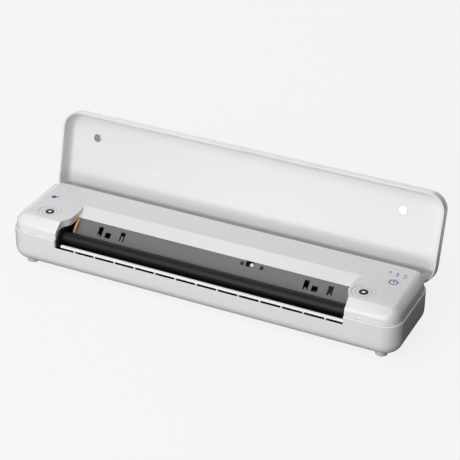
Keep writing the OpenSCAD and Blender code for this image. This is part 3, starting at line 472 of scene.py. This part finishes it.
def tint(piece, made, chosen):
    """Gives another material to the faces that chosen says yes to: it takes the x, y and z of
    their middles and their areas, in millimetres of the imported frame."""
    mesh = piece.data
    middle = np.empty(len(mesh.polygons) * 3)
    mesh.polygons.foreach_get("center", middle)
    area = np.empty(len(mesh.polygons))
    mesh.polygons.foreach_get("area", area)
    index = np.empty(len(mesh.polygons), int)
    mesh.polygons.foreach_get("material_index", index)
    mesh.materials.append(made)
    yes = chosen(*(middle.reshape(-1, 3).T / MM), area / MM ** 2)
    mesh.polygons.foreach_set("material_index", np.where(yes, len(mesh.materials) - 1, index))


def limits(node):
    """A node's lowest and highest corners in millimetres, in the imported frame."""
    return tuple(np.array(corner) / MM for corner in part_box(node))


def grid_faces(rows, columns, round_columns=False, start=0):
    """The four-sided faces between neighbours of a grid of rows by columns, whose last column
    meets the first where it closes."""
    r = np.arange(rows - 1)
    c = np.arange(columns if round_columns else columns - 1)
    r, c = [a.ravel() for a in np.meshgrid(r, c, indexing="ij")]
    r1, c1 = r + 1, (c + 1) % columns
    corners = (r * columns + c, r1 * columns + c, r1 * columns + c1, r * columns + c1)
    return np.stack(corners, axis=1) + start


def end_faces(rows, columns):
    """The two flat faces that close a tube of rows by columns at its first and last rows."""
    last = rows * columns - 1
    return [list(range(columns)), list(range(last, last - columns, -1))]


# How finely ink, ribbons and turned forms are divided
LINE_STEPS, INK_ROWS, RIBBON_ROWS, EDGE_POINTS, TURN_POINTS = 8, 5, 33, 9, 64


def arc(centre, radius, start, end, count):
    """Points on a circle round centre from the angle start to end, in degrees."""
    a = np.radians(np.linspace(start, end, count))
    return np.stack((centre[0] + radius * np.cos(a), centre[1] + radius * np.sin(a)), axis=1)


def dense_line(corners):
    """A line through corners, straight from each to the next, with LINE_STEPS even steps on
    each stretch."""
    p = np.array(corners, float)
    t = np.linspace(0, len(p) - 1, LINE_STEPS * (len(p) - 1) + 1)
    i = np.minimum(t.astype(int), len(p) - 2)
    return p[i] + (p[i + 1] - p[i]) * (t - i)[:, None]


def ink_line(path, width):
    """A flat line of ink along a path seen from above, as a grid: INK_ROWS rows lie side by
    side across the width, and at both ends each goes on by the height of a half circle."""
    path = np.asarray(path, float)
    along = np.gradient(path, axis=0)
    along /= np.linalg.norm(along, axis=1)[:, None]
    side = np.stack((-along[:, 1], along[:, 0]), axis=1)
    reach = np.linspace(-1, 1, INK_ROWS)
    cap = np.sqrt(1 - reach ** 2) * width / 2
    grid = np.stack([path + side * width / 2 * k for k in reach], axis=0)
    head = path[0] - along[0] * cap[:, None] + side[0] * width / 2 * reach[:, None]
    tail = path[-1] + along[-1] * cap[:, None] + side[-1] * width / 2 * reach[:, None]
    return np.concatenate((head[:, None], grid, tail[:, None]), axis=1)


def print_marks(name, lines, z, made, body):
    """Printed marks as thin raised ink: each line is a grid of points, laid at the height z."""
    points, faces, count = [], [], 0
    for line in lines:
        rows, columns = line.shape[:2]
        flat = line.reshape(-1, 2)
        points.append(np.concatenate((flat, np.full((len(flat), 1), z)), axis=1))
        faces.append(grid_faces(rows, columns, start=count)[:, ::-1])
        count += len(flat)
    return put_piece(name, np.concatenate(points), np.concatenate(faces), made, body)


def power_sign(centre, r, width):
    """The usual power sign: a ring open by 56 degrees at its top, and a bar from the centre
    through the gap to 1.2 radii."""
    ring = arc(centre, r, start=118, end=422, count=60)
    up = np.linspace(0, 1.2 * r, LINE_STEPS)
    bar = np.stack((np.full(LINE_STEPS, centre[0]), centre[1] + up), axis=1)
    return [ink_line(ring, width), ink_line(bar, 1.2 * width)]


def feed_sign(centre, r, width):
    """A feed sign: a full disc, drawn as rings within each other at these shares of its radius,
    and a short stroke beyond it."""
    x, y = centre
    rings = [ink_line(arc(centre, r * share, start=0, end=360, count=48), width=0.45 * r)
             for share in (0.8, 0.45, 0.12)]
    stroke = dense_line(((x + 1.15 * r, y + 0.5 * r), (x + 1.5 * r, y + 0.7 * r)))
    return rings + [ink_line(stroke, width)]


def lay_map(piece, across, along):
    """A map over the surface: each corner of a face takes its vertex's own pair of lengths,
    across and along."""
    mesh = piece.data
    corner = np.empty(len(mesh.loops), int)
    mesh.loops.foreach_get("vertex_index", corner)
    layer = mesh.uv_layers.new(name="map")
    layer.uv.foreach_set("vector", np.stack((across, along), axis=1)[corner].ravel())


def ribbon_piece(name, x0, x1, low, top, rise, thick):
    """A flat cable from low to top, (y, z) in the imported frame: a flat section with half-round
    edges, carried along a circle's arc that stands rise above its chord."""
    low, top = np.array(low), np.array(top)
    chord = np.linalg.norm(top - low)
    radius = (chord ** 2 / 4 + rise ** 2) / (2 * rise)
    half = math.asin(chord / 2 / radius)
    along = (top - low) / chord
    out = np.array((-along[1], along[0]))
    turn = np.linspace(-half, half, RIBBON_ROWS)[:, None]
    hub = (low + top) / 2 + out * (rise - radius)
    ray = along * np.sin(turn) + out * np.cos(turn)
    edge = np.radians(np.concatenate((np.linspace(-90, 90, EDGE_POINTS),
                                      np.linspace(90, 270, EDGE_POINTS))))
    flat = (x1 - x0) / 2 - thick / 2
    across = np.repeat((flat, -flat), EDGE_POINTS) + np.cos(edge) * thick / 2
    depth = np.sin(edge) * thick / 2
    yz = (hub + ray * radius)[:, None, :] + ray[:, None, :] * depth[None, :, None]
    x = np.broadcast_to((x0 + x1) / 2 + across, yz.shape[:2])
    points = np.concatenate((x[..., None], yz), axis=2).reshape(-1, 3) - CASE_MIDDLE
    rows, columns = yz.shape[:2]
    faces = grid_faces(rows, columns, round_columns=True).tolist() + end_faces(rows, columns)
    piece = put_piece(name, points, faces, cable_orange, "base")
    lay_map(piece, np.tile(across, rows), np.repeat(turn[:, 0] * radius, columns))
    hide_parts("ribbon_cables")


def turned(profile, start):
    """A turned form: each (distance, radius) of the profile is a ring of TURN_POINTS points
    round the line along x through start."""
    a = np.arange(TURN_POINTS) * 2 * math.pi / TURN_POINTS
    distance, radius = np.array(profile, float).T
    ring = np.stack((np.cos(a), np.sin(a)), axis=1)[None] * radius[:, None, None]
    lift = np.broadcast_to(distance[:, None, None], (len(profile), TURN_POINTS, 1))
    faces = grid_faces(len(profile), TURN_POINTS, round_columns=True)[:, ::-1].tolist()
    faces += end_faces(len(profile), TURN_POINTS)
    return (np.concatenate((lift, ring), axis=2) + start).reshape(-1, 3), faces


def shared_points(name, parts, made, body):
    """One piece of several closed forms: each part is its points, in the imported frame, and its
    faces."""
    points, faces, count = [], [], 0
    for own, own_faces in parts:
        points.append(own)
        faces += [[i + count for i in face] for face in own_faces]
        count += len(own)
    return put_piece(name, np.concatenate(points) - CASE_MIDDLE, faces, made, body)


# The case and the lid. One screw boss of the white shell is painted black, as painted shade where
# it shows through the plate's left square hole; its place is the middle of the boss, and BOSS_FOOT
# keeps the shell's floor white.
BOSS_X, BOSS_Y, BOSS_REACH, BOSS_FOOT = -89.8, -17, 2.6, 3
lower = softened("lower_case", "bottom_shell", 0.22, case_white, "base")
tint(lower, frame_black,
     lambda x, y, z, area: (np.hypot(x - BOSS_X, y - BOSS_Y) < BOSS_REACH) & (z > BOSS_FOOT))
softened("upper_case", "top_cover", 0.3, cover_white, "base", clamp=True)
softened("lid", "lid_shell", 0.3, lid_white, "lid")

# The ribbons reach from their CAD solids' outer edges to RIBBON_GAP from the exit plate, and from
# just above the solids' feet to just below their heads
RIBBON_GAP, RIBBON_RISE, RIBBON_THICK = 0.15, 1.5, 0.3
plate_low, plate_high = limits("exit_plate")
low, high = limits("ribbon_cables")
ribbon_foot, ribbon_head = (low[1] + 0.2, low[2] + 0.2), (high[1] - 0.1, high[2] - 0.35)
for name, x0, x1 in (("left_ribbon", low[0], plate_low[0] - RIBBON_GAP),
                     ("right_ribbon", plate_high[0] + RIBBON_GAP, high[0])):
    ribbon_piece(name, x0, x1, ribbon_foot, ribbon_head, RIBBON_RISE, RIBBON_THICK)

# The roller and the exit plate, whose pale tabs stand at these four places along it
TABS = (plate_low[0] + 18.9, plate_low[0] + 37.85, plate_high[0] - 32.2, plate_high[0] - 13.9)
TAB_REACH, TAB_START, TAB_END = 0.8, plate_low[1] + 2.2, plate_high[1] - 8
softened("roller", "platen_rubber", 0.35, roller_rubber, "platen")
plate = softened("slotted_plate", "exit_plate", 0, plate_grey, "base")
tint(plate, tab_pale,
     lambda x, y, z, area: np.any([(abs(x - tab) < TAB_REACH) & (y > TAB_START) & (y < TAB_END)
                                   for tab in TABS], axis=0))
softened("ribbed_bar", "paper_guide", 0.18, guide_white, "base")

# The sensor: a white eye, whose small faces lie close to its middle; its carrier and pegs are
# painted black, as painted shade in the holes round the eye
EYE_SHIFT, EYE_REACH, EYE_FACE = 0.5, 1.75, 2
sensor = softened("sensor_eye", "paper_sensor", 0.15, chip_black, "base")
low, high = limits("paper_sensor")
eye = (low[0] + high[0]) / 2 - EYE_SHIFT
tint(sensor, sensor_white,
     lambda x, y, z, area: (abs(x - eye) < EYE_REACH) & (area < EYE_FACE))

softened("power_cap", "power_key", 0.2, cover_white, "power_button")
softened("feed_cap", "feed_key", 0.2, cover_white, "feed_button")
softened("catch_seats", "catch_bezels", 0.2, cover_white, "base")
softened("catch_rings", "catch_magnets", 0.2, magnet_black, "base")
softened("catch_studs", "catch_posts", 0.25, guide_white, "base")
softened("polished_discs", "lid_discs", 0.12, disc_steel, "lid")
softened("soft_feet", "rubber_feet", 0.5, foot_rubber, "base")
softened("screw_heads", "case_screws", 0.12, screw_steel, "base")
softened("motor_case", "drive_motor", 0.5, motor_can, "base")
softened("rear_bar", "heat_sink", 0.15, sink_aluminium, "print_head_unit")

# The main board, whose parts are what stands above its own thickness
BOARD_THICK = 1.65
board = softened("main_board_parts", "main_board", 0, board_green, "base")
board_top = limits("main_board")[0][2] + BOARD_THICK
tint(board, chip_black, lambda x, y, z, area: z > board_top)

# The socket: a black tongue in the middle of its mouth, with a row of eight contacts on its top
TONGUE_THICK, TONGUE_WIDTH = 0.5, 7.2
CONTACT_START, CONTACT_END, CONTACT_WIDTH = 1.2, 3.4, 0.28
CONTACT_ROW, CONTACT_LIFT = np.linspace(-2.45, 2.45, 8), 0.19
low, high = limits("usb_socket")
mouth = (low + high) / 2
socket = softened("socket_shell", "usb_socket", 0.1, rod_steel, "base", steps=2)
tint(socket, tongue_black,
     lambda x, y, z, area: ((abs(z - mouth[2]) < TONGUE_THICK / 2)
                            & (abs(y - mouth[1]) < TONGUE_WIDTH / 2)))
tongue = mouth - CASE_MIDDLE
contacts = [ink_line(dense_line(((low[0] + CONTACT_START, tongue[1] + y),
                                 (low[0] + CONTACT_END, tongue[1] + y))), CONTACT_WIDTH)
            for y in CONTACT_ROW]
print_marks("socket_contacts", contacts, tongue[2] + CONTACT_LIFT, contact_gold, "base")

# The battery: two equal cells in line, turned from one profile of (distance, radius) whose first
# half is the hollow end with its rolled rim and whose second half ends in the raised pole
low, high = limits("battery_pack")
r, length = (high[2] - low[2]) / 2, (high[0] - low[0]) / 2
CELL = ((0.5, 0.2), (0.5, r - 1.6), (0, r - 1.3), (0, r - 0.6), (0.25, r - 0.15), (0.8, r),
        (length - 0.8, r), (length - 0.25, r - 0.15), (length, r - 0.6), (length, r - 1.3),
        (length - 0.5, r - 1.6), (length - 0.5, 3), (length - 0.1, 2.6), (length - 0.1, 0.2))
CELL_END = r - 1.65
middle = (low + high) / 2
cells = shared_points("wrapped_cells", [turned(CELL, (x, middle[1], middle[2]))
                                        for x in (low[0], low[0] + length)],
                      battery_wrap, "base")
tint(cells, cell_end,
     lambda x, y, z, area: np.hypot(y - middle[1], z - middle[2]) < CELL_END)
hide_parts("battery_pack")

# The printed signs, and the dark rims of the catches' seats and of the dishes round them, which
# are painted shade at their edges
INK_Z = DECK_Z + 0.03
print_marks("power_mark", power_sign(centre=(136.5, 6.2), r=2.9, width=1.0), INK_Z, mark_blue,
            "power_button")
print_marks("feed_mark", feed_sign(centre=(-139.7, 6.0), r=2.1, width=1.2), INK_Z, feed_blue,
            "feed_button")
low, high = limits("catch_bezels")
bezel = (high[1] - low[1]) / 2
SEATS = [(x, (low[1] + high[1]) / 2 - CASE_Y) for x in (low[0] + bezel, high[0] - bezel)]
RIM_WIDTH, RIM_Z = 0.3, high[2] + 0.02
for name, radius, count in (("seat_rims", 5.75, 72), ("dish_rims", 8.75, 96)):
    rims = [ink_line(arc(seat, radius, start=0, end=360, count=count), RIM_WIDTH)
            for seat in SEATS]
    print_marks(name, rims, RIM_Z, rim_painted_shade, "base")
for name, path, width, made in (
        ("cloud_mark", arc((130.1, 15.6), radius=0.6, start=20, end=340, count=24), 0.35,
         mark_pale),
        ("link_mark", dense_line(((135.5, 15.2), (136.1, 16.0))), 1.3, mark_dark),
        ("cell_mark", dense_line(((141.0, 14.8), (142.6, 15.5))), 1.2, mark_grey)):
    print_marks(name, [ink_line(path, width)], INK_Z, made, "base")

# The studio, in metres. Reflections see a painted shadow on the floor: a darker oval round the
# printer, which fades into the backdrop between FADE_START and FADE_END, so that glossy plastic
# isn't lit from below.
BACKDROP = colour(250, 250, 250)
FLOOR_REACH = 8
FADE_SHIFT, FADE_STRETCH = (0.0, 0.05, 0.0), (0.6, 1.0, 1.0)
FADE_START, FADE_END = 0.11, 0.26
FLOOR_GLOW = 0.88
ROOM_LIGHT = 0.09


def stage_piece(name, corners, material):
    """Adds one flat face of the studio, which isn't part of the printer."""
    mesh = bpy.data.meshes.new(name)
    mesh.from_pydata(corners, [], [(0, 1, 2, 3)])
    mesh.materials.append(material)
    piece = bpy.data.objects.new(name, mesh)
    bpy.context.scene.collection.objects.link(piece)


def bare_material(name):
    """A new material with an empty node tree, and the short way into it."""
    made = bpy.data.materials.new(name)
    made.use_nodes = True
    made.node_tree.nodes.clear()
    return made, Nodes(made.node_tree)


def lay_floor():
    """The pale floor: to the camera and to reflections it is mostly its own even glow with some
    shadow in it, and to all other light it is a dim matt sheet. To reflections the glow also holds
    a painted shadow, dark round the printer."""
    sheet, nodes = bare_material("floor")
    path = nodes.add("LightPath").outputs
    mirrored = nodes.maths("MAXIMUM", path["Is Glossy Ray"], path["Is Transmission Ray"])
    oval = nodes.add("Mapping", Vector=nodes.place(), Location=FADE_SHIFT, Scale=FADE_STRETCH)
    away = nodes.add("VectorMath", operation="LENGTH", in_0=oval.outputs["Vector"])
    fade = nodes.ramp(away.outputs["Value"], FADE_START, FADE_END)
    near = nodes.maths("MULTIPLY", nodes.maths("SUBTRACT", 1.0, fade), mirrored)
    matt = nodes.add("BsdfDiffuse", Color=(0.15, 0.15, 0.15, 1)).outputs[0]
    pale_matt = nodes.add("BsdfDiffuse", Color=(0.8, 0.8, 0.8, 1)).outputs[0]
    glow = nodes.add("Emission", Color=BACKDROP, Strength=nodes.maths("SUBTRACT", 1.0, near))
    shown = nodes.add("MixShader", in_0=FLOOR_GLOW, in_1=pale_matt, in_2=glow.outputs[0])
    seen = nodes.maths("MAXIMUM", path["Is Camera Ray"], mirrored)
    both = nodes.add("MixShader", in_0=seen, in_1=matt, in_2=shown.outputs[0])
    nodes.add("OutputMaterial", Surface=both.outputs[0])
    far = FLOOR_REACH
    stage_piece("floor", [(-far, -far, 0), (far, -far, 0), (far, far, 0), (-far, far, 0)], sheet)


def studio_card(name, middle, across, up, shader, **values):
    """A card on a stand, as photographers use, that shows only in reflections. Its edges are
    twice across and up, and shader is the node that its face is made of, with its values."""
    made, nodes = bare_material(name)
    only = nodes.add("LightPath").outputs["Is Glossy Ray"]
    face = nodes.add(shader, **values).outputs[0]
    clear = nodes.add("BsdfTransparent").outputs[0]
    both = nodes.add("MixShader", in_0=only, in_1=clear, in_2=face).outputs[0]
    nodes.add("OutputMaterial", Surface=both)
    middle, across, up = np.array(middle), np.array(across), np.array(up)
    signs = ((-1, -1), (1, -1), (1, 1), (-1, 1))
    stage_piece(name, [tuple(middle + sx * across + sy * up) for sx, sy in signs], made)


def fill_room():
    """The room: the backdrop's white to the camera and through glass, and a dim even light to
    all else."""
    world = bpy.data.worlds.new("world")
    bpy.context.scene.world = world
    world.use_nodes = True
    world.node_tree.nodes.clear()
    nodes = Nodes(world.node_tree)
    path = nodes.add("LightPath").outputs
    room = nodes.add("Background", Color=(1, 1, 1, 1), Strength=ROOM_LIGHT).outputs[0]
    pale = nodes.add("Background", Color=BACKDROP, Strength=1.0).outputs[0]
    seen = nodes.maths("MAXIMUM", path["Is Camera Ray"], path["Is Transmission Ray"])
    both = nodes.add("MixShader", in_0=seen, in_1=room, in_2=pale).outputs[0]
    nodes.add("OutputWorld", Surface=both)


stand_camera()
lay_floor()
studio_card("left flag", (-0.52, -0.72, 0.06), (0.12, -0.05, 0), (0, 0, 0.12),
            "BsdfDiffuse", Color=(0.01, 0.01, 0.01, 1))
studio_card("rear card", (-0.4, 2.2, 0.5), (2.6, 0, 0), (0, 0, 0.5),
            "Emission", Color=BACKDROP, Strength=1.0)
fill_room()

# Each lamp's name, place, aim, size and power
PRINTER = (0, 0, 0.03)
for lamp in (
        ("front lamp", (-0.1, -1.2, 0.35), PRINTER, (1.3, 0.7), 7.0),
        ("high front lamp", (-0.3, -0.9, 0.9), PRINTER, (1.3, 0.9), 8.0),
        ("top lamp", (-0.3, -0.15, 1.3), (0, 0, 0), (1.2, 1.0), 2.9),
        ("rear lamp", (-0.3, 0.9, 1.0), PRINTER, (1.2, 0.8), 3.4),
        ("back lamp", (-0.6, 1.3, 0.2), (0, 0, 0.06), (1.2, 0.5), 2.0),
        ("low front lamp", (0, -1.1, 0.12), PRINTER, (1.0, 0.2), 1.5),
        ("rear strip", (-0.48, 0.28, 1.18), PRINTER, (0.5, 0.07), 0.4)):
    soft_lamp(*lamp)

bpy.context.scene.view_settings.view_transform = "Standard"
